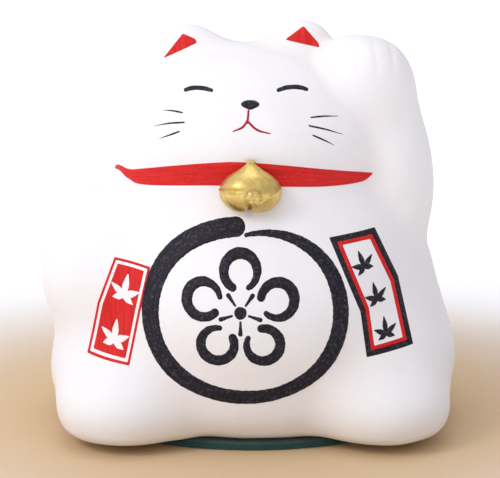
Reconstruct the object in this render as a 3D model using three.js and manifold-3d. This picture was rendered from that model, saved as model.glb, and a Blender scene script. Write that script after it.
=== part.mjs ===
// Beckoning cat figurine: a hollow ceramic coin bank, with its painted marks, its bell,
// its felt base and the rubber stopper that lets the coins out.
// Millimetres. +X is the viewer's right, the cat faces -Y, and +Z is up.
import * as THREE from "three";
import { mergeVertices } from "three/addons/utils/BufferGeometryUtils.js";
import Module from "manifold-3d";

const wasm = await Module();
wasm.setup();

// ---------------------------------------------------------------- driving dimensions
const GAP = 0.3; // between pieces that touch
const FELT_THICKNESS = 4; // felt with its glue line: the ceramic starts here
const WALL = 5.5; // ceramic wall
const SEAM_Y = -4; // plane where the front and back halves are stuck together
const PAINT = 0.5; // thickness of a painted mark
const SKIN_COLUMNS = 56; // facets round the outer skin
const SKIN_ROWS = 40;
const HOLLOW_COLUMNS = 32; // facets round the inner skin
const HOLLOW_ROWS = 22;
const EYE = new THREE.Vector3(0, 0, 92); // the point that all skins are measured out from
const REACH_LIMIT = 260; // further from EYE than any point of the cat
const REACH_STEPS = 18; // halvings of REACH_LIMIT: a thousandth of a millimetre
const FAR = 150; // past the skin in every direction

const SLOT = { x: -3, z: 165, width: 38, height: 5 }; // coin slot in the back of the head
const HOLE = { y: 24, radius: 22 }; // hole in the base for the stopper
const FELT = { y: 1, radiusX: 96, radiusY: 85.5, holeRadius: 28.5 };
const STOPPER = {
  clearance: 0.4, // to the wall of its hole
  flangeRadius: 27,
  flange: 2.2,
  top: 13,
  wall: 4,
  web: 1, // over the flange, between the wall and the pull
  chamfer: 1.5,
  pullRadius: 7,
  pullHeight: 3,
};
const BELL = { x: -0.8, y: -68, bottom: 124.5, radius: 16.3, depth: 0.78, facets: 22 };
const CLEFT = { x: -2.2, width: 2.4, height: 3.5 }; // between the bell's two lobes

// The collar lies in a plane that leans. Each row is x and the heights of its lower and upper edge.
const COLLAR = {
  z: 134,
  lean: -9,
  edges: [
    [-80, 3.4, 5.4],
    [-73, 1.8, 4.6],
    [-66, -2.6, 2.5],
    [-56, -5.9, 3],
    [-22, -6.2, 5.5],
    [-3, -6.5, 5.8],
    [37, -6.8, 2.4],
    [58, -4.2, 1],
    [65.6, 0.3, 0.6],
  ],
};
const RING = {
  x: -3.5,
  z: 75,
  radiusX: 49.4,
  radiusZ: 43,
  square: 0.02, // how far it bulges between its four quarters
  start: 0.5, // degrees clockwise from the top
  end: 354.3,
  inset: 4, // of the thin start, and how quickly that dies away
  ease: 18,
  halves: [1, 2.9, 4.1, 4.4, 3.5, 3.9, 4.6, 4.6, 4.8, 4.8], // half-widths, evenly spaced
};
const BLOSSOM = { x: -6, z: 77, petals: 5, out: 20, loop: 8.6, opening: 1, heart: 3.2 };
const STAMEN = { from: 4.6, length: 6, halves: [0.6, 0.8, 1.2] };
const PETAL_HALVES = [1.4, 2.9, 2.2];
const EYE_HALVES = [0.6, 1, 0.6];
const WHISKER_HALVES = [0.5, 0.5, 0.2];
const LEFT_LABEL = { border: 1.3, field: 2.8 }; // insets from the label's corners
const RIGHT_LABEL = { frame: 2.6, redFrom: 2.9, redTo: 4.6 };
const LEAVES = [[-115, 0.5], [-60, 0.72], [0, 0.9], [60, 0.72], [115, 0.5]]; // turn, share of the size
const LEAF_HALVES = [0.1, 0.15, 0.02]; // shares of the spray's size

// The rounded masses that the cat's form is blended from. Each is an ellipsoid: its centre, its
// radii, how far it leans (about X) and rolls (about Y), in degrees, and how softly it joins the
// masses before it.
const BODY = [
  { centre: [0, 8, 50], radii: [106, 82, 124], lean: 9 }, // torso
  { centre: [0, 0, 22], radii: [104, 90, 38], blend: 22 }, // seat
  { centre: [0, -36, 64], radii: [80, 62, 56], blend: 24 }, // belly
  { centre: [0, 0, 90], radii: [70, 68, 36], lean: -10, blend: 24 }, // shoulders
  { centre: [-2, -4, 134], radii: [66, 54, 26], lean: -9, blend: 16 }, // neck
  { centre: [-75, -14, 83], radii: [41, 46, 45], lean: 10, roll: 19, blend: 14 }, // lowered arm
  { centre: [61, -22, 38], radii: [50, 58, 42], blend: 18 }, // hip at +X
  { centre: [-60, -24, 29], radii: [49, 56, 34], blend: 18 }, // hip at -X
  { centre: [69, -62, 18], radii: [36, 38, 25], blend: 18 }, // foot at +X
  { centre: [-67, -64, 18], radii: [36, 37, 25], blend: 18 }, // foot at -X
  { centre: [8, 82, 19], radii: [24, 15, 14], blend: 6 }, // tail
  { centre: [29, 84, 25], radii: [18, 18, 18], blend: 6 }, // its rounded end
];
const SKULL = [
  { centre: [-3, 4, 171], radii: [62, 54, 36], roll: -2 },
  { centre: [1, -4, 147], radii: [73, 62, 33], lean: -10, roll: -2, blend: 28 }, // cheeks
];
const EARS = [
  { centre: [-34, 4, 191], radii: [21, 12, 26], roll: -4, blend: 14 },
  { centre: [27, 4, 194], radii: [20, 12, 25], roll: 8, blend: 14 },
];
const RAISED_ARM = [
  { centre: [73, -9, 143], radii: [26, 26, 56], roll: -10 },
  { centre: [61.5, -16, 188], radii: [24.5, 24, 24], roll: -10, blend: 16 }, // paw
  { centre: [51, -10, 195], radii: [15, 16, 14], blend: 10 }, // its inner side
];
const HEAD_BLEND = 5; // head to body: a clear crease for the collar
const ARM_BLEND = 7;
const FLOOR_BLEND = 7; // rounds the bottom edge

// ---------------------------------------------------------------- paints and materials
const paints = {
  ceramic: { color: "#f4f1ee", roughness: 0.75 },
  black: { color: "#2d2a34", roughness: 0.8 },
  red: { color: "#cd2823", roughness: 0.7 },
  gold: { color: "#d7b450", roughness: 0.4, metalness: 0.9 },
  felt: { color: "#0a463c", roughness: 1 },
  rubber: { color: "#8f8b85", roughness: 0.9 },
};

const cat = new THREE.Group();

function addPiece(name, geometry, paint) {
  const mesh = new THREE.Mesh(geometry, new THREE.MeshStandardMaterial(paints[paint]));
  mesh.name = name;
  cat.add(mesh);
}

// ---------------------------------------------------------------- solids
function solidOf(geometry) {
  const bare = geometry.clone();
  bare.deleteAttribute("normal");
  bare.deleteAttribute("uv");
  const merged = mergeVertices(bare, 1e-4);
  const mesh = new wasm.Mesh({
    numProp: 3,
    vertProperties: new Float32Array(merged.attributes.position.array),
    triVerts: new Uint32Array(merged.index.array),
  });
  return new wasm.Manifold(mesh);
}

function geometryOf(solid) {
  const mesh = solid.getMesh();
  const geometry = new THREE.BufferGeometry();
  geometry.setAttribute("position", new THREE.BufferAttribute(mesh.vertProperties, 3));
  geometry.setIndex(new THREE.BufferAttribute(mesh.triVerts, 1));
  return geometry;
}

function box(low, high) {
  const size = new THREE.Vector3().subVectors(high, low);
  const centre = new THREE.Vector3().addVectors(low, high).multiplyScalar(0.5);
  const geometry = new THREE.BoxGeometry(size.x, size.y, size.z);
  return solidOf(geometry.translate(centre.x, centre.y, centre.z));
}

function upright(radius, bottom, top, y) {
  const geometry = new THREE.CylinderGeometry(radius, radius, top - bottom, 48);
  geometry.rotateX(Math.PI / 2);
  return solidOf(geometry.translate(0, y, (bottom + top) / 2));
}

// ---------------------------------------------------------------- the cat's form
function prepare(mass) {
  const roll = THREE.MathUtils.degToRad(mass.roll ?? 0);
  const lean = THREE.MathUtils.degToRad(mass.lean ?? 0);
  const turn = new THREE.Matrix4().makeRotationY(roll);
  turn.multiply(new THREE.Matrix4().makeRotationX(lean));
  return {
    centre: new THREE.Vector3(...mass.centre),
    radii: new THREE.Vector3(...mass.radii),
    unturn: turn.transpose(),
    blend: mass.blend,
  };
}

// About how far a point lies outside an ellipsoid; negative inside it.
function distance(mass, point) {
  const local = point.clone().sub(mass.centre).applyMatrix4(mass.unturn).divide(mass.radii);
  const scaled = local.length();
  const slope = local.divide(mass.radii).length();
  return (scaled * (scaled - 1)) / Math.max(slope, 1e-9);
}

function softMin(a, b, blend) {
  const h = Math.max(blend - Math.abs(a - b), 0) / blend;
  return Math.min(a, b) - (h * h * blend) / 4;
}

function union(masses, point) {
  return masses.reduce((near, mass) => {
    const d = distance(mass, point);
    return near === null ? d : softMin(near, d, mass.blend);
  }, null);
}

// groups: lists of masses, each with the blend that joins it to the groups before it
function makeForm(groups) {
  const prepared = groups.map(({ masses, blend }) => ({ masses: masses.map(prepare), blend }));
  return (point) => {
    let near = null;
    for (const { masses, blend } of prepared) {
      const d = union(masses, point);
      near = near === null ? d : softMin(near, d, blend);
    }
    const belowFloor = FELT_THICKNESS - point.z;
    return -softMin(-near, -belowFloor, FLOOR_BLEND);
  };
}

// The closed surface where a form has one level: 0 is its skin, and a positive level lies that
// many millimetres outside it.
function skinOf(form, level, columns, rows) {
  const geometry = new THREE.SphereGeometry(1, columns, rows);
  geometry.rotateX(Math.PI / 2);
  const positions = geometry.attributes.position;
  const direction = new THREE.Vector3();
  const point = new THREE.Vector3();
  for (let i = 0; i < positions.count; i += 1) {
    direction.fromBufferAttribute(positions, i).normalize();
    let near = 0;
    let far = REACH_LIMIT;
    for (let step = 0; step < REACH_STEPS; step += 1) {
      const middle = (near + far) / 2;
      point.copy(EYE).addScaledVector(direction, middle);
      if (form(point) < level) near = middle;
      else far = middle;
    }
    point.copy(EYE).addScaledVector(direction, near);
    positions.setXYZ(i, point.x, point.y, point.z);
  }
  return solidOf(geometry);
}

const wholeForm = makeForm([
  { masses: BODY },
  { masses: [...SKULL, ...EARS], blend: HEAD_BLEND },
  { masses: RAISED_ARM, blend: ARM_BLEND },
]);
const hollowForm = makeForm([{ masses: BODY }, { masses: SKULL, blend: HEAD_BLEND }]);
const skin = (level) => skinOf(wholeForm, level, SKIN_COLUMNS, SKIN_ROWS);
const paintLayer = skin(GAP + PAINT).subtract(skin(GAP));

// ---------------------------------------------------------------- flat outlines
// Outlines are drawn as seen from the front, in X and Z.
function polygon(points) {
  return new THREE.Shape(points.map(([x, z]) => new THREE.Vector2(x, z)));
}

// One brush stroke along a path, with a half-width at each of its ends and its middle.
function stroke(path, halfWidths, steps = 12) {
  const [start, middle, end] = halfWidths;
  const left = [];
  const right = [];
  for (let i = 0; i <= steps; i += 1) {
    const t = i / steps;
    const at = path.getPoint(t);
    const along = path.getTangent(t);
    const across = new THREE.Vector2(-along.y, along.x);
    const ends = THREE.MathUtils.lerp(start, end, t);
    const swell = 4 * t * (1 - t) * (middle - (start + end) / 2);
    const half = ends + swell;
    left.push(at.clone().addScaledVector(across, half));
    right.push(at.clone().addScaledVector(across, -half));
  }
  const first = path.getPoint(0).addScaledVector(path.getTangent(0), -start);
  const last = path.getPoint(1).addScaledVector(path.getTangent(1), end);
  return new THREE.Shape([first, ...right, last, ...left.reverse()]);
}

function smoothPath(points) {
  return new THREE.SplineCurve(points.map(([x, z]) => new THREE.Vector2(x, z)));
}

// An outline swept straight back through the front of the cat.
function sweep(shape) {
  const geometry = new THREE.ExtrudeGeometry(shape, { depth: FAR, bevelEnabled: false });
  geometry.rotateX(Math.PI / 2);
  return solidOf(geometry);
}

// Lays a solid that crosses the skin on it as paint.
function addPaint(name, solid, paint) {
  addPiece(name, geometryOf(solid.intersect(paintLayer)), paint);
}

function addMark(name, shape, paint) {
  addPaint(name, sweep(shape), paint);
}

// ---------------------------------------------------------------- the two halves of the body
function bodyHalves() {
  const low = new THREE.Vector3(-FAR, -FAR, -FAR);
  const high = new THREE.Vector3(FAR, FAR, 2 * FAR);
  const frontSpace = box(low, high.clone().setY(SEAM_Y - GAP / 2));
  const backSpace = box(low.clone().setY(SEAM_Y + GAP / 2), high);
  const hollow = skinOf(hollowForm, -WALL, HOLLOW_COLUMNS, HOLLOW_ROWS);
  const shell = skin(0).subtract(hollow);
  const slot = box(
    new THREE.Vector3(SLOT.x - SLOT.width / 2, 0, SLOT.z - SLOT.height / 2),
    new THREE.Vector3(SLOT.x + SLOT.width / 2, FAR, SLOT.z + SLOT.height / 2),
  );
  const hole = upright(HOLE.radius, -FAR, EYE.z, HOLE.y);
  addPiece("front_shell", geometryOf(shell.intersect(frontSpace)), "ceramic");
  const back = shell.intersect(backSpace).subtract(slot).subtract(hole);
  addPiece("back_shell", geometryOf(back), "ceramic");
}

// ---------------------------------------------------------------- face
function face() {
  addMark("left_ear_inside", polygon([[-48.7, 199], [-30, 207.5], [-31, 209.5], [-38, 212.3]]), "red");
  addMark("right_ear_inside", polygon([[36.8, 205], [36.3, 207.4], [28.2, 216.3], [18, 209.2]]), "red");
  const leftEye = smoothPath([[-35.3, 185.4], [-28.6, 186.7], [-21.4, 185.9]]);
  const rightEye = smoothPath([[13.8, 186.1], [21.7, 187.3], [28.8, 186]]);
  addMark("left_eye", stroke(leftEye, EYE_HALVES, 8), "black");
  addMark("right_eye", stroke(rightEye, EYE_HALVES, 8), "black");
  const nose = [
    [-6, 180], [-3.5, 181.5], [1.5, 181.5], [4, 180], [3.5, 178.5], [-1, 176.6], [-5.5, 178.5],
  ];
  addMark("nose", polygon(nose), "black");
  mouth();
  whiskers();
}

// One stem below the nose and a stroke to each side.
function mouth() {
  const strokes = [
    { points: [[-1.9, 175.9], [-2.2, 173], [-2.6, 170.5]], halves: [0.6, 0.6, 0.6], steps: 2 },
    { points: [[-2.3, 171.6], [-5, 168.3], [-9.9, 166.2]], halves: [0.6, 0.6, 0.3], steps: 5 },
    { points: [[-2.8, 171.4], [2.6, 167], [9.3, 165.1]], halves: [0.6, 0.6, 0.3], steps: 6 },
  ];
  const solids = strokes.map((line) => sweep(stroke(smoothPath(line.points), line.halves, line.steps)));
  addPaint("mouth", solids.reduce((whole, next) => whole.add(next)), "red");
}

function whiskers() {
  // inner end, outer end, seen from the front
  const hairs = {
    left_whisker_top: [[-36.8, 174.4], [-47.2, 174.8]],
    left_whisker_middle: [[-35.7, 169.7], [-52, 166.5]],
    left_whisker_bottom: [[-38.3, 165], [-49.1, 160.5]],
    right_whisker_top: [[30.9, 172.4], [45.5, 172]],
    right_whisker_middle: [[29.8, 168.4], [47.9, 162.9]],
    right_whisker_bottom: [[31.9, 163.5], [43.2, 157.7]],
  };
  for (const [name, [inner, outer]] of Object.entries(hairs)) {
    const path = new THREE.LineCurve(new THREE.Vector2(...inner), new THREE.Vector2(...outer));
    addMark(name, stroke(path, WHISKER_HALVES, 2), "black");
  }
}

// ---------------------------------------------------------------- collar and bell
// A band round the neck, widest under the chin, that runs out to a point on either side of the
// raised arm.
function collar() {
  const steps = 3 * COLLAR.edges.length;
  const lower = smoothPath(COLLAR.edges.map(([x, low]) => [x, low])).getPoints(steps);
  const upper = smoothPath(COLLAR.edges.map(([x, , high]) => [x, high])).getPoints(steps);
  const outline = new THREE.Shape([...lower, ...upper.reverse()]);
  const geometry = new THREE.ExtrudeGeometry(outline, { depth: 2 * FAR, bevelEnabled: false });
  geometry.translate(0, 0, -FAR);
  geometry.rotateX(Math.PI / 2 + THREE.MathUtils.degToRad(COLLAR.lean));
  geometry.translate(0, 0, COLLAR.z);
  addPaint("collar", solidOf(geometry), "red");
}

// An onion-shaped bell with a cleft below, flattened against the chest.
function bell() {
  const profile = smoothPath([
    [0, 0],
    [9.3, 1.2],
    [15.2, 6.2],
    [BELL.radius, 11],
    [14.8, 15.4],
    [11, 19.4],
    [6.3, 22.4],
    [2.8, 25],
    [1.8, 27],
    [0, 27.4],
  ]);
  const outline = profile.getPoints(15).map(({ x, y }) => new THREE.Vector2(Math.max(x, 0), y));
  const geometry = new THREE.LatheGeometry(outline, BELL.facets);
  geometry.rotateX(Math.PI / 2);
  geometry.scale(1, BELL.depth, 1);
  geometry.translate(BELL.x, BELL.y, BELL.bottom);
  const cleft = box(
    new THREE.Vector3(CLEFT.x - CLEFT.width / 2, -FAR, BELL.bottom - FAR),
    new THREE.Vector3(CLEFT.x + CLEFT.width / 2, FAR, BELL.bottom + CLEFT.height),
  );
  const behind = skin(PAINT + 2 * GAP);
  addPiece("bell", geometryOf(solidOf(geometry).subtract(cleft).subtract(behind)), "gold");
}

// ---------------------------------------------------------------- belly
// A point on the ring's path, clockwise from its top, or a little outside it. The ring is a little
// squarer than an ellipse.
function ringPoint(angle, outwards) {
  const bulge = 1 + RING.square * Math.sin(2 * angle) ** 2;
  return new THREE.Vector2(
    RING.x + (RING.radiusX * bulge + outwards) * Math.sin(angle),
    RING.z + (RING.radiusZ * bulge + outwards) * Math.cos(angle),
  );
}

// The brush ring starts thin, just inside the place where its thick end finishes in a round cap.
function ringShape(grow) {
  const steps = 4 * (RING.halves.length - 1);
  const start = THREE.MathUtils.degToRad(RING.start);
  const end = THREE.MathUtils.degToRad(RING.end);
  const outer = [];
  const inner = [];
  let half = 0;
  for (let i = 0; i <= steps; i += 1) {
    const t = i / steps;
    const angle = THREE.MathUtils.lerp(start, end, t);
    const inset = RING.inset * Math.exp(-RING.ease * t);
    const station = Math.min(Math.floor(i / 4), RING.halves.length - 2);
    half = grow + THREE.MathUtils.lerp(RING.halves[station], RING.halves[station + 1], i / 4 - station);
    outer.push(ringPoint(angle, half - inset));
    inner.push(ringPoint(angle, -half - inset));
  }
  const cap = [0.25, 0.5, 0.75].map((share) => {
    const turn = share * Math.PI;
    return ringPoint(end + (half * Math.sin(turn)) / RING.radiusX, -half * Math.cos(turn));
  });
  return new THREE.Shape([...inner, ...cap, ...outer.reverse()]);
}

// A blossom in brush strokes: looped petals round a heart, with a stamen between each two.
function blossom() {
  const middle = new THREE.Vector2(BLOSSOM.x, BLOSSOM.z);
  for (let i = 0; i < BLOSSOM.petals; i += 1) {
    const angle = (2 * Math.PI * i) / BLOSSOM.petals;
    const towards = new THREE.Vector2(Math.sin(angle), Math.cos(angle));
    const centre = middle.clone().addScaledVector(towards, BLOSSOM.out);
    const start = -Math.PI / 2 - angle + BLOSSOM.opening / 2;
    const end = start + 2 * Math.PI - BLOSSOM.opening;
    const loop = new THREE.EllipseCurve(centre.x, centre.y, BLOSSOM.loop, BLOSSOM.loop, start, end);
    addMark(`belly_petal_${i + 1}`, stroke(loop, PETAL_HALVES, 13), "black");
    const between = angle + Math.PI / BLOSSOM.petals;
    const ray = new THREE.Vector2(Math.sin(between), Math.cos(between));
    const foot = middle.clone().addScaledVector(ray, STAMEN.from);
    const tip = foot.clone().addScaledVector(ray, STAMEN.length);
    const stamen = stroke(new THREE.LineCurve(foot, tip), STAMEN.halves, 3);
    addMark(`belly_stamen_${i + 1}`, stamen, "black");
  }
  const heart = new THREE.Path().absarc(middle.x, middle.y, BLOSSOM.heart, 0, 2 * Math.PI);
  addMark("belly_blossom_heart", new THREE.Shape(heart.getPoints(4).slice(0, -1)), "black");
}

// ---------------------------------------------------------------- labels
// A spray of five brush-stroke leaves, joined at its foot.
function spray(x, z, size, turn) {
  const foot = new THREE.Vector2(x, z - 0.35 * size);
  const halves = LEAF_HALVES.map((share) => share * size);
  const leaves = LEAVES.map(([degrees, share]) => {
    const angle = THREE.MathUtils.degToRad(degrees + turn);
    const direction = new THREE.Vector2(Math.sin(angle), Math.cos(angle));
    const tip = foot.clone().addScaledVector(direction, share * size);
    return sweep(stroke(new THREE.LineCurve(foot, tip), halves, 4));
  });
  return leaves.reduce((whole, leaf) => whole.add(leaf));
}

// Moves each corner of an outline that runs anticlockwise inwards by the same distance.
function inset(points, by) {
  return points.map((point, i) => {
    const here = new THREE.Vector2(...point);
    const before = new THREE.Vector2(...points.at(i - 1));
    const after = new THREE.Vector2(...points[(i + 1) % points.length]);
    const into = here.clone().sub(before).normalize();
    const out = after.sub(here).normalize();
    const normals = new THREE.Vector2(-into.y - out.y, into.x + out.x);
    const mitre = by / Math.cos(Math.acos(THREE.MathUtils.clamp(into.dot(out), -1, 1)) / 2);
    return normals.normalize().multiplyScalar(mitre).add(here).toArray();
  });
}

function frameBetween(points, outerInset, innerInset) {
  const outer = sweep(polygon(inset(points, outerInset)));
  return outer.subtract(sweep(polygon(inset(points, innerInset))));
}

function leftLabel() {
  const corners = [[-72.7, 99], [-82, 74.5], [-87.5, 48.5], [-64, 46], [-58.3, 73.3], [-53.2, 96]];
  const clearOfRing = sweep(ringShape(0.5));
  const border = frameBetween(corners, 0, LEFT_LABEL.border).subtract(clearOfRing);
  const field = sweep(polygon(inset(corners, LEFT_LABEL.field)))
    .subtract(spray(-67.5, 84.5, 12, 12))
    .subtract(spray(-72.8, 60.5, 12, 8));
  addPaint("left_label_border", border, "red");
  addPaint("left_label_field", field, "red");
}

function rightLabel() {
  const corners = [[40.2, 111.3], [56.3, 74], [59.6, 50.7], [85, 54.3], [77.8, 87.5], [65.2, 113.2]];
  addPaint("right_label_frame", frameBetween(corners, 0, RIGHT_LABEL.frame), "black");
  const inner = frameBetween(corners, RIGHT_LABEL.redFrom, RIGHT_LABEL.redTo);
  addPaint("right_label_inner_frame", inner, "red");
  const sprays = [[58.9, 98.5, -22], [65.5, 82, -14], [70.2, 64.5, -8]];
  sprays.forEach(([x, z, turn], i) => {
    addPaint(`right_label_spray_${i + 1}`, spray(x, z, 9.4, turn), "black");
  });
}

// ---------------------------------------------------------------- base
function baseFelt() {
  const outline = new THREE.Shape().absellipse(0, FELT.y, FELT.radiusX, FELT.radiusY, 0, 2 * Math.PI);
  outline.holes.push(new THREE.Path().absarc(0, HOLE.y, FELT.holeRadius, 0, 2 * Math.PI, true));
  const options = { depth: FELT_THICKNESS - GAP, bevelEnabled: false, curveSegments: 24 };
  addPiece("base_felt", geometryOf(solidOf(new THREE.ExtrudeGeometry(outline, options))), "felt");
}

// A hollow rubber bung: its flange lies in the felt's hole and its plug fills the base's hole.
function stopper() {
  const plug = HOLE.radius - STOPPER.clearance;
  const flangeTop = FELT_THICKNESS - GAP;
  const flangeBottom = flangeTop - STOPPER.flange;
  const profile = [
    [0, flangeBottom],
    [STOPPER.flangeRadius, flangeBottom],
    [STOPPER.flangeRadius, flangeTop],
    [plug, flangeTop],
    [plug, STOPPER.top - STOPPER.chamfer],
    [plug - STOPPER.chamfer, STOPPER.top],
    [plug - STOPPER.wall, STOPPER.top],
    [plug - STOPPER.wall, flangeTop + STOPPER.web],
    [STOPPER.pullRadius, flangeTop + STOPPER.web],
    [STOPPER.pullRadius, flangeTop + STOPPER.web + STOPPER.pullHeight],
    [0, flangeTop + STOPPER.web + STOPPER.pullHeight],
  ];
  const points = profile.map(([radius, height]) => new THREE.Vector2(radius, height));
  const geometry = new THREE.LatheGeometry(points, 32);
  geometry.rotateX(Math.PI / 2);
  geometry.translate(0, HOLE.y, 0);
  addPiece("stopper", geometryOf(solidOf(geometry)), "rubber");
}

bodyHalves();
face();
collar();
bell();
addMark("belly_ring", ringShape(0), "black");
blossom();
leftLabel();
rightLabel();
baseFelt();
stopper();

// The origin is the middle of the whole figure's footprint, on the surface it stands on.
const bounds = new THREE.Box3().setFromObject(cat);
const middle = bounds.getCenter(new THREE.Vector3());
cat.position.set(-middle.x, -middle.y, -bounds.min.z);

export default cat;
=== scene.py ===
"""Beckoning cat figurine: the fine surfaces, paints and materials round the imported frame.

The ceramic is blended from the same rounded masses as the frame's solids, at a finer pitch. Every
painted mark is a thin film that follows the ceramic. Lengths are millimetres in the figure's own
axes (+X is the viewer's right, the cat faces -Y, +Z is up) until build() turns them into metres.
"""

import math

import bmesh
import bpy
import numpy as np
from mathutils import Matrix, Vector
from mathutils.geometry import delaunay_2d_cdt


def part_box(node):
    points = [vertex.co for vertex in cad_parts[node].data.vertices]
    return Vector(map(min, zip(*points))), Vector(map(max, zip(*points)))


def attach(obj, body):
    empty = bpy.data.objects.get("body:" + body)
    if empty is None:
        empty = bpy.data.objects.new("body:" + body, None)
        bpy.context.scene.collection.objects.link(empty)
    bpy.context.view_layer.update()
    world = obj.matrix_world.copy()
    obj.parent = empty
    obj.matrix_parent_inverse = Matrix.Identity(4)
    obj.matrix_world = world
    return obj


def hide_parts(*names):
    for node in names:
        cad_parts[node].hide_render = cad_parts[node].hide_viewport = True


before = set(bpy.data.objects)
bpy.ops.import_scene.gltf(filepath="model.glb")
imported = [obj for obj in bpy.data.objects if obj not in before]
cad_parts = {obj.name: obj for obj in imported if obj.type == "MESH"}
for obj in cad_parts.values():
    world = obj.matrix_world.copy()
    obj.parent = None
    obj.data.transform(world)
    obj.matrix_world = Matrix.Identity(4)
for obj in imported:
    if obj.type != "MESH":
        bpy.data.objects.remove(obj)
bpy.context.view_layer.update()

MM = 0.001
rng = np.random.default_rng(8)

# ---------------------------------------------------------------- driving dimensions
EYE = np.array([0.0, 0.0, 92.0])  # the point that all skins are measured out from
REACH_LIMIT = 260.0  # further from EYE than any point of the cat
WALL = 5.5  # ceramic wall
SEAM_Y = -4.0
SEAM_HAIR = 0.02  # half the hairline between the two halves
CERAMIC_BOTTOM = 4.0  # the felt and its glue line lie under it
FELT = {"y": 1.0, "radius_x": 96.0, "radius_y": 85.5, "hole_radius": 28.5, "height": 3.7}
HOLE = {"y": 24.0, "radius": 22.0}
SLOT = {"x": -3.0, "z": 165.0, "width": 38.0, "height": 5.0}
BELL = {"x": -0.8, "y": -68.0, "bottom": 124.5, "depth": 0.78}
COLLAR = {"x": -3.0, "z": 134.0, "lean": -9.0}
# The collar's edges: x, and the heights of its lower and upper edge off its leaning plane.
COLLAR_EDGES = [
    (-80, 3.4, 5.4), (-73, 1.8, 4.6), (-66, -2.6, 2.5), (-56, -5.9, 3), (-22, -6.2, 5.5), (-3, -6.5, 5.8),
    (37, -6.8, 2.4), (58, -4.2, 1), (65.6, 0.3, 0.6),
]
# The brush ring: "halves" are its half-widths, spread evenly from its start to its end.
RING = {
    "x": -3.5, "z": 75.0, "radius_x": 49.4, "radius_z": 43.0, "square": 0.02,
    "start": 0.5, "end": 354.3, "inset": 4.0, "ease": 18.0,
    "halves": [1.0, 2.9, 4.1, 4.4, 3.5, 3.9, 4.6, 4.6, 4.8, 4.8],
}
BLOSSOM = {
    "x": -6.0, "z": 77.0, "petals": 5, "out": 20.0, "loop": 8.6, "opening": 0.5, "heart": 3.2,
    "stamen": (4.6, 10.6),
}

# The frame puts the figure's origin at the middle of its footprint. The felt shows where.
felt_low, felt_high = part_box("base_felt")
SHIFT = np.array([
    (felt_low.x + felt_high.x) / 2 / MM,
    (felt_low.y + felt_high.y) / 2 / MM - FELT["y"],
    felt_low.z / MM,
])

# ---------------------------------------------------------------- the cat's form
# Each mass is an ellipsoid: centre, radii, lean (about X), roll (about Y) and the blend that joins
# it to the masses before it.
BODY = [
    ((0, 8, 50), (106, 82, 124), 9, 0, 0),  # torso
    ((0, 0, 22), (104, 90, 38), 0, 0, 22),  # seat
    ((0, -36, 64), (80, 62, 56), 0, 0, 24),  # belly
    ((0, 0, 90), (70, 68, 36), -10, 0, 24),  # shoulders
    ((-2, -4, 134), (66, 54, 26), -9, 0, 16),  # neck
    ((-75, -14, 83), (41, 46, 45), 10, 19, 14),  # lowered arm
    ((61, -22, 38), (50, 58, 42), 0, 0, 18),  # hip at +X
    ((-60, -24, 29), (49, 56, 34), 0, 0, 18),  # hip at -X
    ((69, -62, 18), (36, 38, 25), 0, 0, 18),  # foot at +X
    ((-67, -64, 18), (36, 37, 25), 0, 0, 18),  # foot at -X
    ((8, 82, 19), (24, 15, 14), 0, 0, 6),  # tail
    ((29, 84, 25), (18, 18, 18), 0, 0, 6),  # its rounded end
]
SKULL = [
    ((-3, 4, 171), (62, 54, 36), 0, -2, 0),
    ((1, -4, 147), (73, 62, 33), -10, -2, 28),  # cheeks
]
EARS = [
    ((-34, 4, 191), (21, 12, 26), 0, -4, 14),
    ((27, 4, 194), (20, 12, 25), 0, 8, 14),
]
RAISED_ARM = [
    ((73, -9, 143), (26, 26, 56), 0, -10, 0),
    ((61.5, -16, 188), (24.5, 24, 24), 0, -10, 16),  # paw
    ((51, -10, 195), (15, 16, 14), 0, 0, 10),  # its inner side
]
HEAD_BLEND = 5
ARM_BLEND = 7
FLOOR_BLEND = 7


def rotation(lean, roll):
    a, b = math.radians(lean), math.radians(roll)
    about_x = np.array([[1, 0, 0], [0, math.cos(a), -math.sin(a)], [0, math.sin(a), math.cos(a)]])
    about_y = np.array([[math.cos(b), 0, math.sin(b)], [0, 1, 0], [-math.sin(b), 0, math.cos(b)]])
    return about_y @ about_x


def length_of(vectors):
    return np.sqrt(np.einsum("ij,ij->i", vectors, vectors))


def unit(vectors):
    return vectors / np.maximum(length_of(vectors), 1e-12)[:, None]


def soft_min(a, b, blend):
    h = np.maximum(blend - np.abs(a - b), 0) / blend
    return np.minimum(a, b) - h * h * blend / 4

def length(vector):
    return length_of(vector[None])[0]


def heading_of(vector):
    return unit(vector[None])[0]


def hill(value, width):
    """1 where the value is 0, falling away on both sides."""
    return np.exp(-((value / width) ** 2))


def fade(value, width):
    """A soft step from 1 where the value is negative to 0 where it is positive."""
    return 1 / (1 + np.exp(value / width))


def make_form(groups):
    """How far points lie outside the blended masses, about in millimetres; negative inside."""
    prepared = [
        ([(np.array(c, float), np.array(r, float), rotation(lean, roll), k)
          for c, r, lean, roll, k in masses], group_blend)
        for masses, group_blend in groups
    ]

    def form(points):
        whole = None
        for masses, group_blend in prepared:
            group = None
            for centre, radii, turn, blend in masses:
                local = (points - centre) @ turn / radii
                scaled = length_of(local)
                slope = np.maximum(length_of(local / radii), 1e-9)
                d = scaled * (scaled - 1) / slope
                group = d if group is None else soft_min(group, d, blend)
            whole = group if whole is None else soft_min(whole, group, group_blend)
        return -soft_min(-whole, points[:, 2] - CERAMIC_BOTTOM, FLOOR_BLEND)

    return form


masses_form = make_form([(BODY, 0), (SKULL + EARS, HEAD_BLEND), (RAISED_ARM, ARM_BLEND)])
hollow_form = make_form([(BODY, 0), (SKULL, HEAD_BLEND)])

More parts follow.
